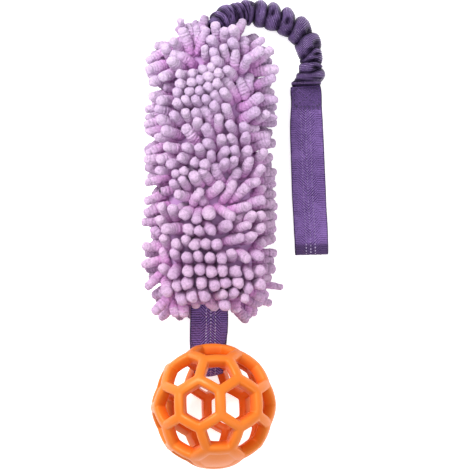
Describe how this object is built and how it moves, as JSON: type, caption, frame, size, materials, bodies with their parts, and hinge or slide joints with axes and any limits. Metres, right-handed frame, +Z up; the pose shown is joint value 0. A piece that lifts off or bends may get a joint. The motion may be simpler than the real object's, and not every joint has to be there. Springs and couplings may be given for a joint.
{
  "type": "dog tug toy with ball",
  "caption": "Soft chenille tug toy for dogs, with a lattice rubber ball on a webbing strap and a bungee with a webbing hand loop, lying flat.",
  "frame": {"origin": "middle of the footprint on the floor that the toy lies on", "axes": "+Y along the mop from the ball to the bungee, +Z up from the floor, +X towards the hand loop's side"},
  "size_m": [0.1198, 0.3141, 0.0826],
  "materials": {
    "chenille": "soft matte pile",
    "backing": "matte woven",
    "filling": "matte fibre",
    "webbing": "matte herringbone weave",
    "sleeve": "matte gathered weave",
    "elastic": "matte",
    "rubber": "satin",
    "thread": "matte"
  },
  "bodies": {
    "mop": {"chenille_pile_front": "chenille", "chenille_pile_back": "chenille", "backing_panel_front": "backing", "backing_panel_back": "backing", "side_seam_left": "backing", "side_seam_right": "backing", "fibre_filling_front": "filling", "fibre_filling_back": "filling", "load_webbing": "webbing", "ball_strap_root": "webbing", "bungee_root_tape": "sleeve", "foot_box_stitch": "thread", "head_box_stitch": "thread"},
    "ball_strap": {"ball_strap_loop": "webbing"},
    "ball": {"lattice_ball": "rubber"},
    "bungee_root": {"bungee_sleeve_root": "sleeve", "elastic_core_root": "elastic"},
    "bungee_leg": {"bungee_sleeve_leg": "sleeve", "elastic_core_leg": "elastic"},
    "handle_tab": {"handle_tab_under": "webbing", "handle_tab_over": "webbing", "sleeve_end": "sleeve", "handle_box_stitch": "thread", "sleeve_hem_stitch": "thread"},
    "hand_loop": {"handle_loop": "webbing"}
  },
  "joints": [
    {"name": "strap_flex", "type": "hinge", "parent": "mop", "child": "ball_strap", "pos_m": [-0.02044, -0.05866, 0.0264], "axis": [1, 0, 0], "range_deg": [-40, 60]},
    {"name": "ball_swing", "type": "hinge", "parent": "ball_strap", "child": "ball", "pos_m": [-0.02165, -0.09148, 0.01316], "axis": [0.9917, 0.0113, -0.1279], "range_deg": [-20, 80]},
    {"name": "bungee_swing", "type": "hinge", "parent": "mop", "child": "bungee_root", "pos_m": [-0.01704, 0.13724, 0.0262], "axis": [0, 0, 1], "range_deg": [0, 90], "deforming": ["bungee_sleeve_root", "elastic_core_root"]},
    {"name": "bungee_bend", "type": "hinge", "parent": "bungee_root", "child": "bungee_leg", "pos_m": [0.03586, 0.13854, 0.009], "axis": [0, 0, 1], "range_deg": [-4, 100], "deforming": ["bungee_sleeve_leg", "elastic_core_leg"]},
    {"name": "bungee_stretch", "type": "slide", "parent": "bungee_leg", "child": "handle_tab", "axis": [0.0337, -0.9994, 0], "range_m": [0, 0.03], "stiffness_N_per_m": 200},
    {"name": "handle_flap", "type": "hinge", "parent": "handle_tab", "child": "hand_loop", "pos_m": [0.04553, 0.08275, 0.003], "axis": [0.9994, 0.0337, 0], "range_deg": [-90, 90]}
  ]
}
